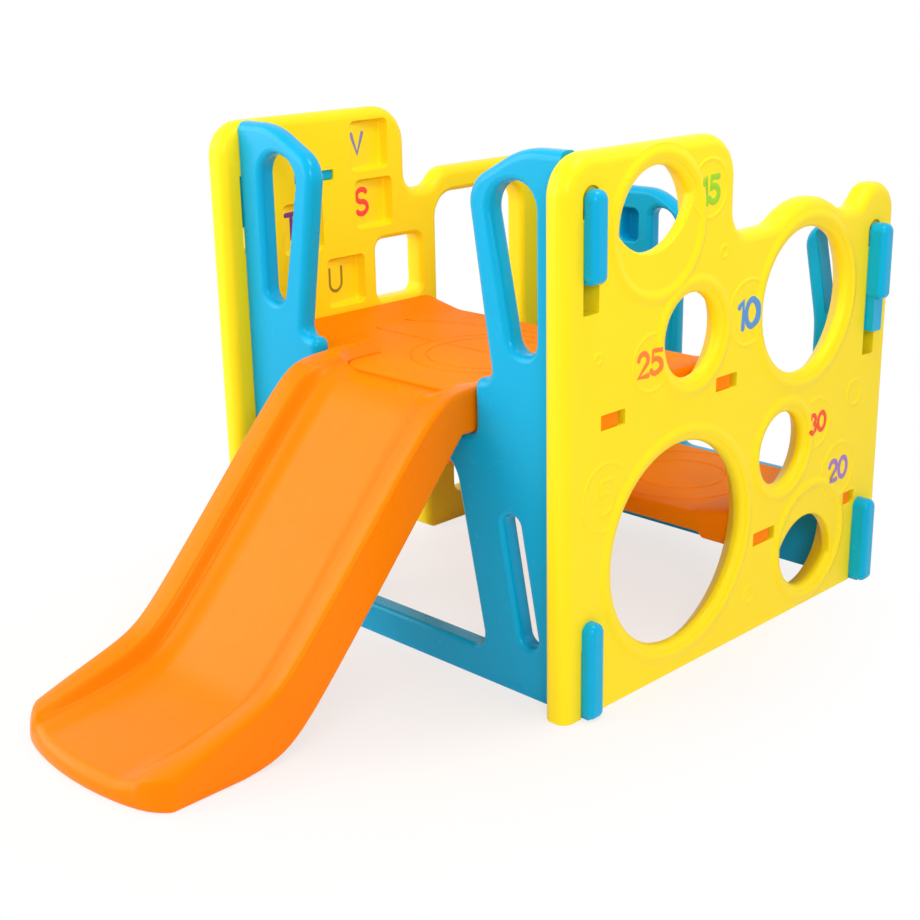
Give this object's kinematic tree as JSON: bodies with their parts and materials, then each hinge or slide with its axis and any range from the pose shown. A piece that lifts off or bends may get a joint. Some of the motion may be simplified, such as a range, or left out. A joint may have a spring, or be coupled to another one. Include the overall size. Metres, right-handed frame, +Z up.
{
  "type": "toddler climbing gym",
  "caption": "Plastic toddler climbing gym with a chute, decks at two heights and side panels pierced by crawl holes, hung on the hooks of a front and a rear frame.",
  "frame": {"origin": "on the floor under the middle of the whole gym's box", "axes": "+Z up, +X towards the number panel, -Y out along the chute, so +Y points to the rear entry"},
  "size_m": [0.9618, 1.615, 0.931],
  "materials": {
    "yellow_plastic": "satin moulded polyethylene",
    "blue_plastic": "satin moulded polyethylene",
    "orange_plastic": "satin moulded polyethylene"
  },
  "bodies": {
    "frames": {"front_frame": "blue_plastic", "rear_frame": "blue_plastic", "chute": "orange_plastic"},
    "walls": {"number_panel": "yellow_plastic", "letter_panel": "yellow_plastic", "hanger_bar": "blue_plastic"},
    "platform": {"upper_deck": "orange_plastic"},
    "step": {"lower_deck": "orange_plastic"}
  },
  "joints": [
    {"name": "panel_lift", "type": "slide", "parent": "frames", "child": "walls", "axis": [0, 0, 1], "range_m": [0, 0.048]},
    {"name": "platform_slide", "type": "slide", "parent": "walls", "child": "platform", "axis": [0, 1, 0], "range_m": [0, 0.015]},
    {"name": "step_slide", "type": "slide", "parent": "walls", "child": "step", "axis": [0, 1, 0], "range_m": [0, 0.015]}
  ]
}
